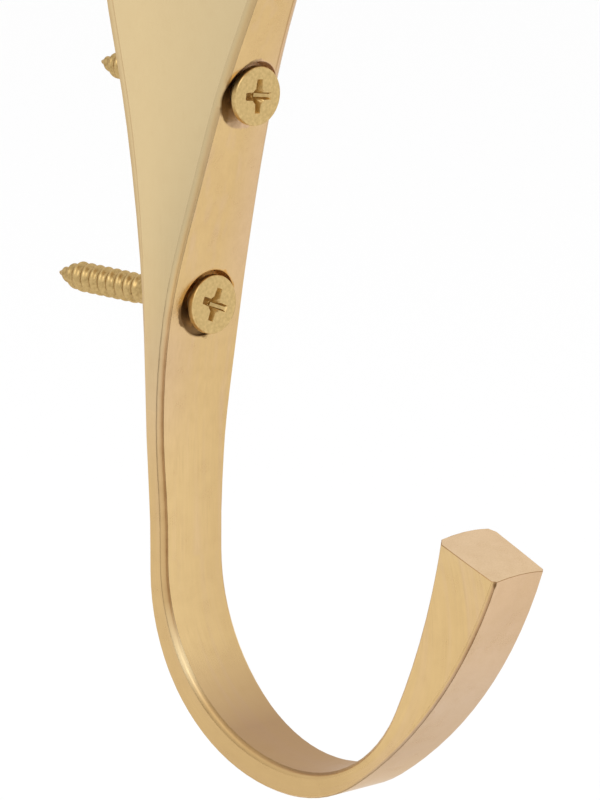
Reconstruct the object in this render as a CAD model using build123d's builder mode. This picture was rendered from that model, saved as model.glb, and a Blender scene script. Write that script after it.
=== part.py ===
"""Brass wall hook with a plain horse head, and the two screws that fix it.

Millimetres. The wall is the plane Y = 0 and the hook stands out along -Y, with +Z up. The origin
is on the wall, midway between the two screws, and X = 0 is the middle of the hook.
"""

import os
from math import cos, radians, sin, tan

from build123d import *

# screws: flat heads with a cross recess, a plain part and a wood thread shown by its outer size
screw_spacing = 29.4
screw_length = 31.1
screw_head_diameter = 8.0
screw_head_rim = 1.0
screw_head_edge_break = 0.25
screw_head_cone_angle = 82.0
screw_plain_diameter = 3.5
screw_plain_end = 16.1
screw_thread_diameter = 4.1
screw_point_length = 3.6
screw_point_diameter = 0.5
recess_span = 4.7
recess_arm_width = 1.25
recess_depth = 1.5
recess_taper = 12.0
lower_screw_turn = 24.0
upper_screw_turn = 6.0

# screw holes: a round pocket with a flat floor, and a hole whose edge carries the head's cone
pocket_diameter = 9.2
hole_clearance = 0.25
seat_clearance = 0.05
lower_pocket_height = 4.35
upper_pocket_height = 12.9

# strap and curl, as seen from the side
strap_thickness = 3.2
strap_top = -37.0
strap_foot = -48.8
strap_foot_width = 11.2
curl_inner_drop = 1.2
curl_outer_drop = 2.9
curl_inner_radius = 24.0
curl_inner_angle = 93.5
curl_rise_radius = 21.6
curl_rise_angle = 59.4
leg_inner_radius = 91.0
leg_inner_angle = 17.1
curl_outer_radius = 26.0
curl_outer_angle = 90.0
curl_bottom_radius = 23.4
curl_bottom_angle = 33.5
leg_outer_radius = 69.0
leg_outer_angle = 36.0
tip_crown = 0.4

# top of the neck, the places that follow it, and the way its front line runs at its end
crest_depth = 11.0
crest_height = 87.5
crest_width = 12.0
neck_back_drop = 8.5
poll_drop = 5.5
poll_depth = 10.0
nape_drop = 17.5
throat_part = 0.48
jowl_part = 0.64
neck_front_end = (0.34, 0.94)

# strap and neck in level sections: height, depth from the wall, width at the wall, width in front
neck_sections = [
    (strap_foot - curl_outer_drop, strap_thickness, strap_foot_width, strap_foot_width),
    (strap_foot, strap_thickness, strap_foot_width, strap_foot_width),
    (strap_foot + curl_outer_drop, strap_thickness, strap_foot_width, strap_foot_width),
    (strap_top, strap_thickness, 12.0, 12.2),
    (-25.0, 4.1, 12.9, 13.8),
    (-12.0, 6.4, 14.0, 13.9),
    (1.0, 9.9, 16.6, 12.0),
    (15.0, 14.2, 20.9, 10.3),
    (28.5, 19.6, 26.3, 8.6),
    (crest_height * throat_part, 25.0, 29.2, 9.2),
    (crest_height * jowl_part, 27.0, 29.7, 12.5),
    (crest_height - nape_drop, 24.0, 26.0, 14.0),
    (crest_height - poll_drop, 17.0, 19.0, 12.0),
]

# widths round the curl, by distance from the wall
curl_waist_depth = 25.0
curl_waist_width = 9.6
rise_depth = 50.0
rise_width = 10.1
tip_width = 9.0
tip_narrowing = 0.06

# head, in sections square to the face: distance from the poll, rise, drop and width
head_pitch = 41.0
head_sections = [
    (4.0, 6.0, 14.0, 14.0),
    (16.0, 7.5, 18.0, 19.0),
    (29.0, 6.0, 15.0, 16.0),
    (42.0, 4.5, 9.5, 12.5),
    (51.0, 4.5, 9.0, 13.0),
    (57.0, 2.5, 6.0, 9.5),
]
head_roundness = 0.45
muzzle_edge_break = 1.2

# ears, in leaf-shaped sections from root to point: height, width and thickness
ear_gap = 10.0
ear_lean = 12.0
ear_root_depth = 9.0
ear_sections = [(0.0, 6.0, 5.0), (10.0, 7.0, 4.6), (22.0, 1.6, 1.2)]

# broken edges: the front ones are soft and the back ones grow with the depth, while the tip stays crisp
front_edge_break = 0.8
back_edge_break = 0.5
back_edge_depth = 1.2
overrun = 2.0
block_width = 60.0

poll_height = crest_height - poll_drop
neck_back_top = crest_height - neck_back_drop
lower_screw_height = -screw_spacing / 2
upper_screw_height = screw_spacing / 2
head_radius = screw_head_diameter / 2
plain_radius = screw_plain_diameter / 2
thread_radius = screw_thread_diameter / 2
hole_radius = thread_radius + hole_clearance
cone_slope = tan(radians(screw_head_cone_angle / 2))
cone_height = (head_radius - plain_radius) / cone_slope
head_stand = screw_head_rim + (head_radius - hole_radius) / cone_slope + seat_clearance

# the arc of the crown runs on to twice the tip's half width, where it has fallen four times as far
tip_crown_fall = 4 * tip_crown


def section_corners(depth, back_width, front_width):
    """Corners of a level section with its back corners broken, run on past the back and the front line."""
    spread = (back_width - front_width) / 2 / depth
    edge_depth = min(back_edge_break * depth / strap_thickness, back_edge_depth)
    edge = back_width / 2 - spread * edge_depth
    back = back_width / 2 - back_edge_break - (back_edge_break / edge_depth - spread) * overrun
    front = front_width / 2 - spread * overrun
    half = [(back, overrun), (edge, -edge_depth), (front, -depth - overrun)]
    return half + [(-x, y) for x, y in reversed(half)]


# side view of the strap and the neck
with BuildLine(Plane.YZ) as neck_side:
    neck_foot = Line((0, strap_foot), (-strap_thickness, strap_foot))
    Line(neck_foot @ 1, (-strap_thickness, strap_top))
    neck_points = [(-depth, height) for height, depth, _, _ in neck_sections if height >= strap_top]
    neck_front = Spline(*neck_points, tangents=[(0, 1), neck_front_end])
    neck_rise = PolarLine(neck_front @ 1, poll_drop + 2 * overrun, direction=neck_front % 1)
    Polyline(neck_rise @ 1, (0, (neck_rise @ 1).Z), (0, strap_foot))

# side view of all that lies below the round crest
with BuildLine(Plane.YZ) as crest_side:
    crest = ThreePointArc(neck_front @ 1, (-crest_depth, crest_height), (0, neck_back_top))
    Polyline(
        crest @ 1,
        (0, strap_foot - overrun),
        (-block_width, strap_foot - overrun),
        (-block_width, poll_height),
        crest @ 0,
    )

# side view of the curl, whose inner and outer lines both run on past the tip
with BuildLine(Plane.YZ) as curl_side:
    curl_root = Line((0, strap_foot), (-strap_thickness, strap_foot))
    inner_start = PolarLine(curl_root @ 1, curl_inner_drop, direction=(0, -1))
    inner_curl = JernArc(inner_start @ 1, inner_start % 1, curl_inner_radius, -curl_inner_angle)
    inner_rise = JernArc(inner_curl @ 1, inner_curl % 1, curl_rise_radius, -curl_rise_angle)
    inner_leg = JernArc(inner_rise @ 1, inner_rise % 1, leg_inner_radius, -leg_inner_angle)
    inner_tip = PolarLine(inner_leg @ 1, overrun, direction=inner_leg % 1)
    outer_start = PolarLine(curl_root @ 0, curl_outer_drop, direction=(0, -1))
    outer_curl = JernArc(outer_start @ 1, outer_start % 1, curl_outer_radius, -curl_outer_angle)
    outer_bottom = JernArc(outer_curl @ 1, outer_curl % 1, curl_bottom_radius, -curl_bottom_angle)
    outer_leg = JernArc(outer_bottom @ 1, outer_bottom % 1, leg_outer_radius, -leg_outer_angle)
    outer_tip = PolarLine(outer_leg @ 1, overrun, direction=outer_leg % 1)
    Line(inner_tip @ 1, outer_tip @ 1)

block_side = Pos(X=-block_width / 2)
neck_face = make_face(neck_side.edges()).moved(block_side)
crest_face = make_face(crest_side.edges()).moved(block_side)
curl_face = make_face(curl_side.edges()).moved(block_side)
tip_span = outer_leg @ 1 - inner_leg @ 1
tip_plane = Plane(origin=inner_leg @ 1, x_dir=(1, 0, 0), z_dir=tip_span)

# strap and neck: level sections joined, trimmed to the side view and broken at the front, then the crest
with BuildPart() as neck:
    for height, depth, back_width, front_width in neck_sections:
        with BuildSketch(Plane.XY.offset(height)):
            with BuildLine():
                Polyline(*section_corners(depth, back_width, front_width), close=True)
            make_face()
    with BuildSketch(Plane.XY.offset(crest_height + overrun)):
        with BuildLine():
            Polyline(*section_corners(crest_depth, crest_width, crest_width), close=True)
        make_face()
    loft()
    extrude(neck_face, amount=block_width, dir=(1, 0, 0), mode=Mode.INTERSECT)
    front_edges = neck.edges().filter_by(Axis.X, reverse=True)
    front_edges = front_edges.filter_by_position(Axis.Y, -block_width, -strap_thickness)
    front_edges = front_edges.filter_by_position(Axis.Z, strap_foot + overrun, poll_height)
    chamfer(front_edges, length=front_edge_break)
    extrude(crest_face, amount=block_width, dir=(1, 0, 0), mode=Mode.INTERSECT)

# curl: its outline from above, trimmed to the side view, with a slightly crowned end
with BuildPart() as curl:
    with BuildSketch(Plane.XY):
        with BuildLine():
            wall_edge = Line((0, overrun), (strap_foot_width / 2, overrun))
            root_edge = Line(wall_edge @ 1, (strap_foot_width / 2, -strap_thickness))
            side_edge = Spline(
                root_edge @ 1,
                (curl_waist_width / 2, -curl_waist_depth),
                (rise_width / 2, -rise_depth),
                (tip_width / 2, (outer_tip @ 1).Y - overrun),
                tangents=[(0, -1), (-tip_narrowing, -1)],
            )
            Polyline(side_edge @ 1, (0, (side_edge @ 1).Y), (0, overrun))
        make_face()
        mirror(about=Plane.YZ)
    extrude(amount=-2 * block_width)
    extrude(curl_face, amount=block_width, dir=(1, 0, 0), mode=Mode.INTERSECT)
    chamfer(curl.edges().sort_by_distance(inner_curl @ 0.5)[:2], length=front_edge_break)
    chamfer(curl.edges().sort_by_distance(outer_curl @ 0.5)[:2], length=back_edge_break)
    with BuildSketch(tip_plane.offset(-overrun)):
        with BuildLine():
            crown = ThreePointArc(
                (-tip_width, -tip_crown - tip_crown_fall),
                (0, -tip_crown),
                (tip_width, -tip_crown - tip_crown_fall),
            )
            Polyline(crown @ 1, (tip_width, 2 * overrun), (-tip_width, 2 * overrun), crown @ 0)
        make_face()
    extrude(amount=tip_span.length + 2 * overrun, mode=Mode.SUBTRACT)

# head: rounded sections square to the face, from the poll down to the muzzle
with BuildPart() as head:
    for distance, rise, drop, width in head_sections:
        run = distance * cos(radians(head_pitch))
        fall = distance * sin(radians(head_pitch))
        face_plane = Plane(
            origin=(0, -poll_depth - run, poll_height - fall),
            x_dir=(1, 0, 0),
            z_dir=(0, -cos(radians(head_pitch)), -sin(radians(head_pitch))),
        )
        with BuildSketch(face_plane):
            with Locations((0, (rise - drop) / 2)):
                RectangleRounded(width, rise + drop, radius=min(width, rise + drop) * head_roundness)
    loft()
    muzzle = head.faces().sort_by(Axis.Y)[0]
    chamfer(muzzle.edges(), length=muzzle_edge_break)

with BuildPart() as ear:
    for height, width, thickness in ear_sections:
        with BuildSketch(Plane.XY.offset(height)):
            with BuildLine():
                ThreePointArc((-width / 2, 0), (0, -thickness / 2), (width / 2, 0))
                ThreePointArc((width / 2, 0), (0, thickness / 2), (-width / 2, 0))
            make_face()
    loft(ruled=True)

# the casting: strap, neck, curl, head and ears in one, with the two screw pockets and holes
with BuildPart() as hook_body:
    add(neck.part)
    add(curl.part)
    add(head.part)
    with Locations(
        Location((-ear_gap / 2, -ear_root_depth, poll_height), (0, -ear_lean, 0)),
        Location((ear_gap / 2, -ear_root_depth, poll_height), (0, ear_lean, 0)),
    ):
        add(ear.part)
    for height, pocket_height in (
        (lower_screw_height, lower_pocket_height),
        (upper_screw_height, upper_pocket_height),
    ):
        with BuildSketch(Plane.XZ.offset(pocket_height)):
            with Locations((0, height)):
                Circle(pocket_diameter / 2)
        extrude(amount=block_width, mode=Mode.SUBTRACT)
        with BuildSketch(Plane.XZ.offset(-overrun)):
            with Locations((0, height)):
                Circle(hole_radius)
        extrude(amount=pocket_height + 2 * overrun, mode=Mode.SUBTRACT)

# one screw, head face down at Z = 0 and pointing along +Z
with BuildPart() as screw:
    with BuildSketch(Plane.XZ):
        with BuildLine():
            Polyline(
                (0, 0),
                (head_radius, 0),
                (head_radius, screw_head_rim),
                (plain_radius, screw_head_rim + cone_height),
                (plain_radius, screw_plain_end),
                (thread_radius, screw_plain_end),
                (thread_radius, screw_length - screw_point_length),
                (screw_point_diameter / 2, screw_length),
                (0, screw_length),
                close=True,
            )
        make_face()
    revolve(axis=Axis.Z)
    chamfer(screw.edges().group_by(Axis.Z)[0], length=screw_head_edge_break)
    for arm_length, arm_width in ((recess_span, recess_arm_width), (recess_arm_width, recess_span)):
        with BuildSketch(Plane.XY):
            Rectangle(arm_length, arm_width)
        extrude(amount=recess_depth, taper=recess_taper, mode=Mode.SUBTRACT)

# the two screws in their holes, each turned as it was driven
with BuildPart() as mounting_screws:
    with Locations(
        Location((0, -lower_pocket_height - head_stand, lower_screw_height), (-90, 0, lower_screw_turn)),
        Location((0, -upper_pocket_height - head_stand, upper_screw_height), (-90, 0, upper_screw_turn)),
    ):
        add(screw.part)

hook_body.part.label = "hook_body"
mounting_screws.part.label = "mounting_screws"
os.makedirs("parts", exist_ok=True)
export_step(hook_body.part, "parts/hook_body.step")
export_step(mounting_screws.part, "parts/mounting_screws.step")
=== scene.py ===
from math import cos, pi, radians, sin, tan
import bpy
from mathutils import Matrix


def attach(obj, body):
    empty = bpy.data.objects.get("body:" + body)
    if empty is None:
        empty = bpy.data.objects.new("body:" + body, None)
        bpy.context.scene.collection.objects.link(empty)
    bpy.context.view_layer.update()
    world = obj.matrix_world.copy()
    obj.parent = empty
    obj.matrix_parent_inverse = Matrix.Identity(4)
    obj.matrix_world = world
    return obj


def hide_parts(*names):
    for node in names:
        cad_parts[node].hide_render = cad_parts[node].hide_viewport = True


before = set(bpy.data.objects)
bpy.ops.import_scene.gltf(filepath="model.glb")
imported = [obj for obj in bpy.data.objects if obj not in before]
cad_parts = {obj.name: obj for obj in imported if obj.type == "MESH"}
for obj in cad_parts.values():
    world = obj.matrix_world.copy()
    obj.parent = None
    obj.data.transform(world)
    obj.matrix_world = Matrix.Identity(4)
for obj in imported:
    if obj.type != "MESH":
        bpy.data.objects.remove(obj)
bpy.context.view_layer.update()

from types import SimpleNamespace

import bmesh
import bpy
from mathutils import Matrix, Vector


# The hook: one brass casting with the strap, the curl and the plain horse head.
# Its sides were polished and its faces brushed along their length, and every edge was eased by hand.
# It is held to the wall by two screws, whose heads lie in round pockets in its front.
class Wire:
    """One value in a node tree. Arithmetic on it adds Math nodes to the same tree."""

    def __init__(self, tree, socket):
        self.tree = tree
        self.socket = socket

    @staticmethod
    def node(tree, kind, settings=None, inputs=None, out=0):
        made = tree.nodes.new(kind)
        for name, value in (settings or {}).items():
            setattr(made, name, value)
        for key, value in (inputs or {}).items():
            if isinstance(value, Wire):
                tree.links.new(value.socket, made.inputs[key])
            else:
                made.inputs[key].default_value = value
        return Wire(tree, made.outputs[out])

    def other(self, out):
        """Another output of the node that this value comes from."""
        return Wire(self.tree, self.socket.node.outputs[out])

    def parts(self):
        """The x, y and z of a vector."""
        x = Wire.node(self.tree, "ShaderNodeSeparateXYZ", inputs={0: self})
        return x, x.other(1), x.other(2)

    def maths(self, operation, *others):
        values = dict(enumerate((self, *others)))
        return Wire.node(self.tree, "ShaderNodeMath", {"operation": operation}, values)

    def __add__(self, value):
        return self.maths("ADD", value)

    def __sub__(self, value):
        return self.maths("SUBTRACT", value)

    def __rsub__(self, value):
        return (self * -1) + value

    def __mul__(self, value):
        return self.maths("MULTIPLY", value)

    def __truediv__(self, value):
        return self.maths("DIVIDE", value)

    def __gt__(self, value):
        return self.maths("GREATER_THAN", value)

    def __lt__(self, value):
        return self.maths("LESS_THAN", value)

    __radd__ = __add__
    __rmul__ = __mul__

    def between(self, low, high):
        """0 at low, 1 at high, and held there outside."""
        return Wire.node(self.tree, "ShaderNodeMapRange", {"clamp": True}, {0: self, 1: low, 2: high})

    def within(self, low, full, end, gone):
        """0 up to low, 1 from full to end, and 0 again from gone."""
        return self.between(low, full) * (1 - self.between(end, gone))


def vector(tree, x=0.0, y=0.0, z=0.0):
    return Wire.node(tree, "ShaderNodeCombineXYZ", inputs={0: x, 1: y, 2: z})


def blend(factor, first, second):
    return Wire.node(factor.tree, "ShaderNodeMix", {"data_type": "RGBA"}, {0: factor, 6: first, 7: second}, 2)


def noise(place, scale, detail):
    inputs = {"Vector": place, "Scale": scale, "Detail": detail}
    return Wire.node(place.tree, "ShaderNodeTexNoise", inputs=inputs)


bump_depth = 0.0001


def bump(height, strength):
    inputs = {"Strength": strength, "Distance": bump_depth, "Height": height}
    return Wire.node(height.tree, "ShaderNodeBump", inputs=inputs)


brass_gloss = (0.93, 0.83, 0.72, 1)


def finished(name, finish):
    """A brass whose colour, roughness and bump come from finish(tree)."""
    material = bpy.data.materials.new(name)
    material.use_nodes = True
    tree = material.node_tree
    shader = tree.nodes["Principled BSDF"]
    shader.inputs["Metallic"].default_value = 1.0
    shader.inputs["Specular Tint"].default_value = brass_gloss
    for key, value in finish(tree).items():
        tree.links.new(value.socket, shader.inputs[key])
    return material


# Places on the casting in metres, for its mesh.
screw_height = 0.0147
pocket_radius = 0.0046
pocket_back = -0.0055
tip_back = -0.050
tip_low = -0.045
tip_high = -0.030

# Places on the casting in millimetres, and turns round its curl in radians, for its finish.
millimetres = 1000
curl_centre_depth = -27.2
curl_centre_height = -50.0
curl_mean_radius = 26.0
bend_start = (-1.1, -0.5)
leg_start = (0.3, 0.9)
strap_front = -20.0
tip_top = -36.3
tip_end_low = -43.0
neck_depth = 9.6
neck_slope = 0.33
back_edge = -1.4
front_line = 4.78
front_narrowing = 0.054
nick_stretch = 0.5
nick_centre = (-4.35, -65.0, -41.7 * nick_stretch)

brushed_light = (0.73, 0.51, 0.24, 1)
brushed_dark = (0.65, 0.445, 0.20, 1)
brush_shade = (0.48, 0.31, 0.14, 1)
polished_reflection_back = (0.675, 0.52, 0.287, 1)
polished_reflection_front = (0.59, 0.465, 0.265, 1)
strap_highlight_brass = (0.81, 0.58, 0.28, 1)
rosy_light = (0.70, 0.49, 0.325, 1)
rosy_tip_highlight = (0.77, 0.57, 0.37, 1)
leg_tan = (0.605, 0.46, 0.355, 1)
neck_shade = (0.50, 0.395, 0.22, 1)
rosy_dark = (0.42, 0.275, 0.165, 1)
bend_shade_brass = (0.34, 0.205, 0.125, 1)
shaded_brass = (0.54, 0.36, 0.16, 1)
edge_tarnish_and_reflection = (0.33, 0.17, 0.065, 1)
edge_highlight = (0.93, 0.73, 0.42, 1)
pocket_amber = (0.68, 0.37, 0.10, 1)
grime_and_shade = (0.15, 0.075, 0.025, 1)


def hook_surface(tree):
    """Where a point lies on the hook, which part it is on as a share from 0 to 1, and the noises there."""
    place = Wire.node(tree, "ShaderNodeTexCoord", out="Object")
    x, y, z = [part * millimetres for part in place.parts()]
    face_x, face_y, face_z = place.other("Normal").parts()

    # turn runs round the curl, from below zero on the strap's side to above zero on the leg
    back = y - curl_centre_depth
    rise = z - curl_centre_height
    turn = (back * -1).maths("ARCTAN2", rise * -1)
    radius = (back * back + rise * rise).maths("SQRT")
    outward = (back * face_y + rise * face_z) / radius
    on_strap = (y > strap_front) * (z > curl_centre_height)
    on_neck = on_strap.maths("MAXIMUM", z > tip_top)
    on_curl = 1 - on_neck
    side = face_x.maths("ABSOLUTE").between(0.55, 0.9)
    bend = turn.within(*bend_start, *leg_start)
    eased = Wire.node(tree, "ShaderNodeAttribute", {"attribute_name": "eased_edge"}, out="Fac")
    on_edge = eased > 0.5

    # brush marks follow the strap and go round the curl
    run = z * on_neck + (curl_centre_height - (turn + pi / 2) * curl_mean_radius) * on_curl
    across = y * on_neck + radius * on_curl

    def streaks(fine, coarse, scale, detail):
        return noise(vector(tree, x * fine, across * fine, run * coarse), scale, detail)

    scuff = noise(place, 420.0, 4.0)
    lift = z.maths("ABSOLUTE") - screw_height * millimetres
    from_screw = (x * x + lift * lift).maths("SQRT")
    spread = scuff.between(0.5, 0.7) * (0.55 - (z > 0.0) * 0.2)
    pocket_edge = pocket_radius * millimetres
    return SimpleNamespace(
        x=x,
        y=y,
        z=z,
        face_y=face_y,
        turn=turn,
        on_curl=on_curl,
        side=side,
        bend=bend,
        eased=eased,
        on_edge=on_edge,
        polished=side * z.between(-45.0, -5.0),
        leg_outside=outward.between(0.4, 0.8) * on_curl * turn.between(0.1, 0.8),
        tip_end=face_z.between(0.6, 0.8) * (y < tip_back * millimetres) * (z > tip_end_low),
        bend_shade=(outward * -1).between(0.5, 0.9) * on_curl * bend,
        bend_edge_shade=on_edge * on_curl * turn.within(-1.0, -0.7, -0.3, 0.1),
        pocket=(1 - (from_screw - spread).between(pocket_edge, pocket_edge + 0.25)) * (y < -1.0),
        brush=streaks(5.0, 0.12, 1.0, 3.0),
        band=streaks(0.7, 0.03, 1.0, 1.0),
        hair=streaks(9.0, 0.4, 0.6, 1.0),
        cloud=noise(place, 70.0, 2.0),
        scuff=scuff,
    )


def brushed_and_polished(at):
    """Mottled brushed faces with a rosy flush, and polished sides with a painted reflection that is greyer
    and darker towards the front.
    """
    mottle = at.cloud.between(0.3, 0.7) * 0.4 + at.band.between(0.3, 0.7) * 0.2
    mottle = mottle + at.x.between(-6.0, 6.0) * 0.4
    colour = blend(mottle, brushed_light, brushed_dark)
    right_flush = at.x.between(0.5, 5.0) * at.z.within(-22.0, -8.0, 18.0, 30.0) * 0.55
    left_flush = (1 - at.x.between(-5.0, 0.0)) * at.z.within(-40.0, -30.0, -20.0, -12.0) * 0.45
    flush = (at.band.between(0.5, 0.75) * 0.35).maths("MAXIMUM", right_flush + left_flush)
    colour = blend(flush, colour, rosy_light)
    # the polished sides get a painted reflection, lighter at the back and greyer towards the front
    reflection_to_front = (at.y * -1 / (at.z * neck_slope + neck_depth)).between(0.25, 1.0)
    return blend(at.polished, colour, blend(reflection_to_front, polished_reflection_back, polished_reflection_front))


def rosy_leg_and_shaded_bend(at, colour):
    """A rosy outer face on the leg, a rosy painted highlight on the tip's end, a painted highlight at the
    foot of the strap, painted shade inside the bend, and painted shade on the sides of the strap and the
    bend.
    """
    leg_tone = blend(at.turn.between(1.2, 1.75), leg_tan, rosy_light)
    lower_leg = 1 - at.turn.between(0.3, 1.2) + at.cloud.between(0.5, 0.75) * 0.2
    colour = blend(at.leg_outside * 0.8, colour, blend(lower_leg, leg_tone, rosy_dark))
    # the tip's upward end is painted lighter and rosier, as a painted highlight
    colour = blend(at.tip_end * 0.8, colour, rosy_tip_highlight)
    above_bend = 1 - at.on_curl * at.turn.between(*bend_start)
    # the front of the strap's foot, most of all on the left, gets a painted highlight
    strap_foot_highlight = (1 - at.z.between(-38.0, -24.0)) * above_bend * (1 - at.side)
    colour = blend(strap_foot_highlight * (1 - at.x.between(-4.0, 5.0)) * 0.6, colour, strap_highlight_brass)
    # the inside of the bend is painted darker, as painted shade
    colour = blend(at.bend_shade * 0.75, colour, bend_shade_brass)
    before_leg = 1 - at.on_curl * at.turn.between(*leg_start)
    shaded = (1 - at.z.between(-38.0, -28.0)) * before_leg * (0.35 + at.on_curl * at.bend * 0.35)
    return blend(at.side * shaded, colour, shaded_brass)


def brush_marks(at, colour):
    """Brush marks, hairline scratches and small scuffs, fainter where the sides are polished."""
    marks = at.brush.between(0.35, 0.8) * 0.18 + at.hair.between(0.68, 0.74) * 0.15
    marks = marks + at.scuff.between(0.4, 0.7) * 0.14
    return blend(marks * (1 - at.polished * 0.7), colour, brush_shade)


def edge_wear_and_painted_light(at, colour):
    """Brown lines along the eased edges, partly tarnish and partly painted dark reflection, painted shade on
    the neck's edge, a nick at the tip, and a painted highlight and painted shade on the edge in the bend.
    """
    near_side = (1.35 - at.eased).between(0.0, 0.35) * at.on_edge
    on_leg = at.on_curl * at.turn.between(0.7, 1.5)
    line = (near_side * 0.28 + at.eased.between(1.2, 1.8)).maths("MAXIMUM", at.on_edge * on_leg * 0.12)
    on_strap = 0.3 + (1 - at.z.between(-28.0, -12.0)) * 0.6
    kept = on_strap * (1 - at.on_curl * at.turn.between(-1.2, -0.9)) + on_leg * 0.9
    line = (line * kept).maths("MAXIMUM", near_side * (at.y > back_edge) * 0.5)
    # the neck's left front edge is painted darker, as painted shade
    neck_edge_shade = at.on_edge * at.z.between(-14.0, -2.0) * (1 - at.x.between(-3.0, -1.0)) * (at.y < -4.0)
    colour = blend(neck_edge_shade * 0.6, colour, neck_shade)

    # the right front edge above the upper screw has a line beside it, and is rosy beyond that
    from_line = at.x + at.z * front_narrowing - front_line
    on_front = (at.face_y < -0.5) * at.z.within(13.0, 19.0, 32.0, 38.0)
    colour = blend(from_line.between(0.0, 0.2) * on_front * 0.6, colour, rosy_light)
    line = line.maths("MAXIMUM", (1 - from_line.maths("ABSOLUTE").between(0.06, 0.2)) * on_front * 0.6)
    # the brown edge lines are partly tarnish and partly painted dark reflection
    colour = blend(line * (0.78 + at.scuff.between(0.35, 0.65) * 0.15), colour, edge_tarnish_and_reflection)

    # a dark nick is in the leg's edge just under the tip's end, and the edge in the bend gets a painted
    # highlight
    tree = colour.tree
    ends = {0: vector(tree, at.x, at.y, at.z * nick_stretch), 1: nick_centre}
    from_nick = Wire.node(tree, "ShaderNodeVectorMath", {"operation": "DISTANCE"}, ends, "Value")
    colour = blend(1 - (from_nick + at.scuff * 0.3).between(0.25, 0.55), colour, grime_and_shade)
    bend_edge_highlight = at.on_edge * at.on_curl * at.turn.within(-1.35, -1.05, -0.95, -0.7)
    colour = blend(bend_edge_highlight * 0.8, colour, edge_highlight)
    # the edge further round the bend is painted darker, as painted shade that dims its highlight
    return blend(at.bend_edge_shade * 0.75, colour, shaded_brass)


def pocket_film_and_shade(at, colour):
    """Old polish and grime in the pockets round the screw heads, with painted shade: amber or rosy where
    thin, and darkest at the left of the upper pocket and the bottom of the lower one.
    """
    level = at.z - at.z.maths("SIGN") * (screw_height * millimetres)
    upper = at.z > 0.0
    dark_lean = upper * (at.x * -0.25 - 0.45) - (1 - upper) * (level * 0.25 + 0.7)
    darkness = (at.scuff * (2.5 - upper) + dark_lean).between(0.2, 0.9)
    film_and_shade = blend(darkness, blend(upper, pocket_amber, rosy_light), grime_and_shade)
    return blend(at.pocket * 0.8, colour, film_and_shade)


def hook_finish(tree):
    at = hook_surface(tree)
    colour = brushed_and_polished(at)
    colour = rosy_leg_and_shaded_bend(at, colour)
    colour = brush_marks(at, colour)
    colour = edge_wear_and_painted_light(at, colour)
    colour = pocket_film_and_shade(at, colour)
    rough = 0.18 + at.brush * 0.08 + at.cloud * 0.05 + at.scuff.between(0.55, 0.8) * 0.06
    rough = rough + at.bend_shade * 0.12 + at.pocket * 0.25 - at.polished * 0.04
    rough = rough + at.on_edge * 0.08 + at.bend_edge_shade * 0.2
    return {"Base Color": colour, "Roughness": rough, "Normal": bump(at.brush + at.hair, 0.05)}


weld_distance = 2e-6
crisp_angle = radians(52)
edge_softness = 0.00022
rim_slack = 0.0001

hook = bpy.data.objects.new("hook_casting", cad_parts["hook_body"].data.copy())
bpy.context.scene.collection.objects.link(hook)
work = bmesh.new()
work.from_mesh(hook.data)
bmesh.ops.remove_doubles(work, verts=work.verts, dist=weld_distance)
crisp = []
for edge in work.edges:
    middle = (edge.verts[0].co + edge.verts[1].co) / 2
    at_tip = middle.y < tip_back and tip_low < middle.z < tip_high
    from_screw = Vector((middle.x, abs(middle.z) - screw_height)).length
    at_pocket = middle.y < pocket_back and abs(from_screw - pocket_radius) < rim_slack
    if edge.calc_face_angle(0) > crisp_angle and (at_tip or at_pocket):
        crisp.append(edge)
bmesh.ops.bevel(
    work, geom=crisp, offset=edge_softness, segments=2, profile=0.5, affect="EDGES", clamp_overlap=True
)
work.normal_update()
work.faces.index_update()

patch_angle = radians(12)
kin_angle = radians(56)
narrow = 0.0014
hairline = 0.0003
side_facing = 0.6


def smooth_patches(work):
    """The number of the smooth patch that each face is in, and the width of each patch."""
    patch_of = {}
    widths = []
    for seed in work.faces:
        if seed in patch_of:
            continue
        patch = len(widths)
        patch_of[seed] = patch
        area = 0.0
        border = 1e-9
        waiting = [seed]
        while waiting:
            face = waiting.pop()
            face.smooth = True
            area += face.calc_area()
            for edge in face.edges:
                if edge.calc_face_angle(0) > patch_angle:
                    border += edge.calc_length()
                    continue
                for beside in edge.link_faces:
                    if beside not in patch_of:
                        patch_of[beside] = patch
                        waiting.append(beside)
        widths.append(2 * area / border)
    return patch_of, widths


# Each broad face keeps its own normals, and a narrow eased edge takes those of the faces that it joins.
patch_of, widths = smooth_patches(work)
corner_normals = {}
edge_across = {}
for vert in work.verts:
    normals = {}
    for corner in vert.link_loops:
        patch = patch_of[corner.face]
        normals[patch] = normals.get(patch, Vector()) + corner.face.normal * corner.calc_angle()
    for patch, normal in normals.items():
        kin = [other for other in normals if normals[other].angle(normal, 0) < kin_angle]
        broad = [normals[other] for other in kin if widths[other] > narrow]
        if widths[patch] > narrow:
            corner_normals[vert, patch] = normal.normalized()
        elif broad:
            corner_normals[vert, patch] = max(broad, key=lambda other: other.length).normalized()
        else:
            corner_normals[vert, patch] = sum((normals[other] for other in kin), Vector()).normalized()
    beside = [normals[patch].normalized() for patch in normals if widths[patch] > narrow]
    edge_across[vert] = 1.5
    if beside:
        edge_across[vert] = 1.0 if max(abs(normal.x) for normal in beside) > side_facing else 2.0

# The layer eased_edge is 0 on broad faces. Across an eased edge it goes from 1 at the side to 2 at the front.
eased_edge = work.loops.layers.float.new("eased_edge")
hook_normals = []
for face in work.faces:
    patch = patch_of[face]
    for corner in face.loops:
        if widths[patch] < hairline:
            corner[eased_edge] = 2.0
        elif widths[patch] < narrow:
            corner[eased_edge] = edge_across[corner.vert]
        hook_normals.append(corner_normals[corner.vert, patch])
work.to_mesh(hook.data)
work.free()
hook.data.normals_split_custom_set(hook_normals)
hook.data.materials.clear()
hook.data.materials.append(finished("polished_cast_brass", hook_finish))
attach(hook, "root")
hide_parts("hook_body")


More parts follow.
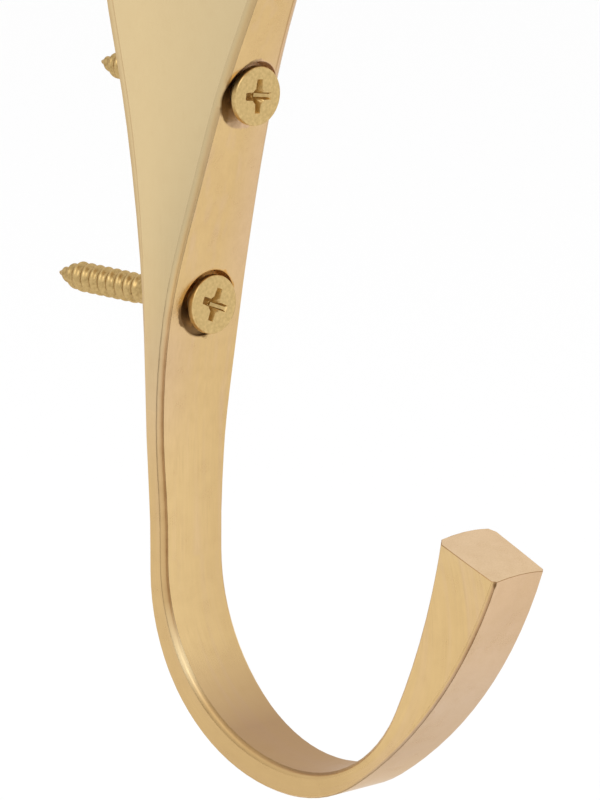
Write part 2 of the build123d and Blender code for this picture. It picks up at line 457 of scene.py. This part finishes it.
# The two screws: turned brass with a flat head, a cross recess and a rolled wood thread.
# They are the same screw twice, driven through the strap with their heads in the round pockets.
screw_sizes = {
    "Head Radius": 0.0040,
    "Head Rim": 0.0010,
    "Rim Round": 0.0003,
    "Plain Radius": 0.00175,
    "Thread Radius": 0.00205,
    "Root Radius": 0.00160,
    "Thread Start": 0.0130,
    "Pitch": 0.00169,
    "Length": 0.0311,
    "Point Length": 0.0042,
    "Recess Span": 0.0047,
    "Recess Arm": 0.00125,
    "Recess Depth": 0.0015,
    "Recess Flare": 0.00115,
}
head_cone = radians(41)
lower_face = -0.007390
lower_turn = radians(24)
lower_tilt = radians(-0.8)
upper_face = -0.015970
upper_turn = radians(6)
upper_tilt = radians(0.9)

screw_light = (0.69, 0.495, 0.22, 1)
screw_dark = (0.52, 0.365, 0.15, 1)
screw_grime_and_shade = (0.30, 0.19, 0.07, 1)


def screw_finish(tree):
    """Grainy brass, darker in the recess, along the thread and in its valleys, partly grime and partly
    painted shade.
    """
    place = Wire.node(tree, "ShaderNodeAttribute", {"attribute_name": "screw_place"}, out="Vector")
    x, y, depth = [part * millimetres for part in place.parts()]
    radius = (x * x + y * y).maths("SQRT")
    recess = (radius < 2.9) * depth.between(0.1, 1.4) * (depth < 2.0)
    on_thread = depth > 12.0
    valley = on_thread * (1 - radius.between(1.62, 1.95))
    grain = noise(place, 2200.0, 4.0)
    tone = blend(grain.between(0.3, 0.75), screw_light, screw_dark)
    thread_grime_and_shade = valley * (0.1 + grain.between(0.45, 0.7) * 0.45) + on_thread * 0.3
    colour = blend((recess * 0.3).maths("MAXIMUM", thread_grime_and_shade), tone, screw_grime_and_shade)
    return {"Base Color": colour, "Roughness": 0.30 + grain * 0.12, "Normal": bump(grain, 0.12)}


screw_brass = finished("turned_screw_brass", screw_finish)
tree = bpy.data.node_groups.new("wood_screw", "GeometryNodeTree")
tree.interface.new_socket("Geometry", in_out="OUTPUT", socket_type="NodeSocketGeometry")
screw_inputs = {}
for name in screw_sizes:
    made = tree.interface.new_socket(name, in_out="INPUT", socket_type="NodeSocketFloat")
    screw_inputs[name] = made.identifier
size_node = Wire.node(tree, "NodeGroupInput")
size = {name: size_node.other(name) for name in screw_sizes}

# The outline is turned from a flat grid: along it from the head to the point, and across it once round.
rings = 420
ring_points = 61
face_share = 0.03
ridge_sharpness = 1.3
ridge_fade = 0.6
root_fade = 0.75
grid = Wire.node(
    tree,
    "GeometryNodeMeshGrid",
    inputs={"Size X": 1.0, "Size Y": 1.0, "Vertices X": rings, "Vertices Y": ring_points},
)
grid_x, grid_y, _ = Wire.node(tree, "GeometryNodeInputPosition").parts()
along = grid_x + 0.5
angle = (grid_y + 0.5) * (-2 * pi)
depth = along.between(face_share, 1.0) * size["Length"]
rim = (1 - depth / size["Rim Round"]).maths("MAXIMUM", 0.0)
rim = (1 - (1 - rim * rim).maths("SQRT")) * size["Rim Round"]
cone = size["Head Radius"] - (depth - size["Head Rim"]).maths("MAXIMUM", 0.0) * tan(head_cone) - rim
taper = ((size["Length"] - depth) / size["Point Length"]).maths("MINIMUM", 1.0)
threaded = depth.between(size["Thread Start"], size["Thread Start"] + size["Pitch"])
wave = (depth / size["Pitch"] * (2 * pi) - angle).maths("COSINE") * 0.5 + 0.5
ridge = (size["Thread Radius"] - size["Root Radius"]) * wave.maths("POWER", ridge_sharpness)
thread = size["Root Radius"] * taper.maths("POWER", root_fade) + ridge * taper.maths("POWER", ridge_fade)
shaft = size["Plain Radius"] * (1 - threaded) + thread * threaded
around = cone.maths("MAXIMUM", shaft) * along.between(0.0, face_share)
turned = vector(tree, around * angle.maths("COSINE"), around * angle.maths("SINE"), depth)
screw = Wire.node(tree, "GeometryNodeSetPosition", inputs={"Geometry": grid, "Position": turned})
screw = Wire.node(tree, "GeometryNodeMergeByDistance", inputs={"Geometry": screw, "Distance": weld_distance})

# Two bars with sloping floors and a cone between them cut the cross recess. The second bar goes a little
# deeper, so that no two floors lie in one plane.
bar_taper = 0.12
floor_taper = 0.6
bar_above = 0.1
end_slope = 0.75
second_bar_depth = 1.04
flare_sides = 20
flare_above = 0.07
flare_below = 0.9
flare_mouth = 1.06
flare_point = 0.2
sliver = 1e-5
crease_angle = radians(38)
box = vector(tree, size["Recess Span"], size["Recess Arm"], size["Recess Depth"] * 2)
bar = Wire.node(tree, "GeometryNodeMeshCube", inputs={"Size": box, "Vertices X": 3})
bar_x, bar_y, bar_z = Wire.node(tree, "GeometryNodeInputPosition").parts()
outward = bar_x.maths("ABSOLUTE") / size["Recess Span"] * 2
deep = bar_z > 0.0
shaped = vector(
    tree,
    bar_x * (1 - deep * bar_taper),
    bar_y * (1 - outward * bar_taper) * (1 - deep * floor_taper),
    bar_z * (bar_above + deep * (1 - bar_above - outward * end_slope)),
)
bar = Wire.node(tree, "GeometryNodeSetPosition", inputs={"Geometry": bar, "Position": shaped})
cross_bar = Wire.node(
    tree,
    "GeometryNodeTransform",
    inputs={"Geometry": bar, "Rotation": (0, 0, pi / 2), "Scale": (1, 1, second_bar_depth)},
)
flare = Wire.node(
    tree,
    "GeometryNodeMeshCone",
    inputs={
        "Vertices": flare_sides,
        "Radius Top": size["Recess Flare"] * flare_point,
        "Radius Bottom": size["Recess Flare"] * flare_mouth,
        "Depth": size["Recess Depth"] * (flare_above + flare_below),
    },
)
raised = vector(tree, z=size["Recess Depth"] * -flare_above)
flare = Wire.node(tree, "GeometryNodeTransform", inputs={"Geometry": flare, "Translation": raised})
for cutter in (bar, cross_bar, flare):
    screw = Wire.node(
        tree,
        "GeometryNodeMeshBoolean",
        {"operation": "DIFFERENCE", "solver": "EXACT"},
        {"Mesh 1": screw, "Mesh 2": cutter},
    )
screw = Wire.node(tree, "GeometryNodeMergeByDistance", inputs={"Geometry": screw, "Distance": sliver})
screw = Wire.node(tree, "GeometryNodeSetShadeSmooth", inputs={"Geometry": screw, "Shade Smooth": True})
crease = Wire.node(tree, "GeometryNodeInputMeshEdgeAngle") > crease_angle
screw = Wire.node(
    tree,
    "GeometryNodeSetShadeSmooth",
    {"domain": "EDGE"},
    {"Geometry": screw, "Selection": crease, "Shade Smooth": False},
)
screw = Wire.node(
    tree,
    "GeometryNodeStoreNamedAttribute",
    {"data_type": "FLOAT_VECTOR", "domain": "POINT"},
    {"Geometry": screw, "Name": "screw_place", "Value": Wire.node(tree, "GeometryNodeInputPosition")},
)

# One copy goes to each seat. The lower seat has index 0 and the upper one has index 1.
which = Wire.node(tree, "GeometryNodeInputIndex")
seat = vector(
    tree,
    y=lower_face + which * (upper_face - lower_face),
    z=which * (2 * screw_height) - screw_height,
)
driven = vector(
    tree,
    lower_tilt - pi / 2 + which * (upper_tilt - lower_tilt),
    lower_turn + which * (upper_turn - lower_turn),
)
seats = Wire.node(tree, "GeometryNodePoints", inputs={"Count": 2, "Position": seat})
pair = Wire.node(
    tree, "GeometryNodeInstanceOnPoints", inputs={"Points": seats, "Instance": screw, "Rotation": driven}
)
pair = Wire.node(tree, "GeometryNodeRealizeInstances", inputs={"Geometry": pair})
pair = Wire.node(tree, "GeometryNodeSetMaterial", inputs={"Geometry": pair, "Material": screw_brass})
result = tree.nodes.new("NodeGroupOutput")
tree.links.new(pair.socket, result.inputs[0])

screws = bpy.data.objects.new("wall_screws", bpy.data.meshes.new("wall_screws"))
bpy.context.scene.collection.objects.link(screws)
maker = screws.modifiers.new("wood screw", "NODES")
maker.node_group = tree
for name, value in screw_sizes.items():
    maker[screw_inputs[name]] = value
graph = bpy.context.evaluated_depsgraph_get()
screw_mesh = bpy.data.meshes.new_from_object(screws.evaluated_get(graph))
screws.modifiers.clear()
screws.data = screw_mesh
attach(screws, "root")
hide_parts("mounting_screws")


# The studio: a wide sheet of pale paper lies below the hook, and all round it is plain white.
# One square soft lamp hangs above and to the left.
floor_level = -0.26
floor_reach = 8
paper_white = (0.97, 0.97, 0.97, 1)
lamp_place = Vector((-0.9, -0.3, 1.0))
lamp_aim = Vector((0, -0.02, -0.02))
lamp_side = 0.7
lamp_watts = 3.0

floor_corners = []
for x, y in [(-1, -1), (1, -1), (1, 1), (-1, 1)]:
    floor_corners.append((x * floor_reach, y * floor_reach, floor_level))
floor_mesh = bpy.data.meshes.new("floor")
floor_mesh.from_pydata(floor_corners, [], [(0, 1, 2, 3)])
floor = bpy.data.objects.new("floor", floor_mesh)
bpy.context.scene.collection.objects.link(floor)
paper = bpy.data.materials.new("pale_paper")
paper.use_nodes = True
paper.node_tree.nodes["Principled BSDF"].inputs["Base Color"].default_value = paper_white
paper.node_tree.nodes["Principled BSDF"].inputs["Roughness"].default_value = 0.9
floor.data.materials.append(paper)

world = bpy.data.worlds.new("white studio")
bpy.context.scene.world = world
world.use_nodes = True
surround = world.node_tree.nodes["Background"]
surround.inputs["Color"].default_value = (1, 1, 1, 1)
surround.inputs["Strength"].default_value = 1.0

lamp = bpy.data.lights.new("key_softbox", "AREA")
lamp.shape = "SQUARE"
lamp.size = lamp_side
lamp.energy = lamp_watts
softbox = bpy.data.objects.new("key_softbox", lamp)
bpy.context.scene.collection.objects.link(softbox)
softbox.location = lamp_place
softbox.rotation_euler = (lamp_aim - lamp_place).to_track_quat("-Z", "Y").to_euler()


# The camera: a long lens a metre from the lower screw, in front of it, to the left and a little above.
# It is moved right and down across its own view, so that the curl and both screws are in the frame.
view_turn = radians(46.832)
view_tilt = radians(13.235)
camera_distance = 1.0
moved_right = 0.016347
moved_down = 0.013921
lens_length = 336.4
sensor_width = 36.0

forward = Vector((cos(view_turn) * cos(view_tilt), sin(view_turn) * cos(view_tilt), -sin(view_tilt)))
right = Vector((sin(view_turn), -cos(view_turn), 0))
up = right.cross(forward)
camera = bpy.data.objects.new("camera", bpy.data.cameras.new("camera"))
bpy.context.scene.collection.objects.link(camera)
lower_screw = Vector((0, 0, -screw_height))
spot = lower_screw + right * moved_right - up * moved_down - forward * camera_distance
camera.matrix_world = Matrix.Translation(spot) @ Matrix((right, up, -forward)).transposed().to_4x4()
camera.data.lens = lens_length
camera.data.sensor_width = sensor_width
bpy.context.scene.camera = camera
bpy.context.scene.view_settings.view_transform = "Standard"
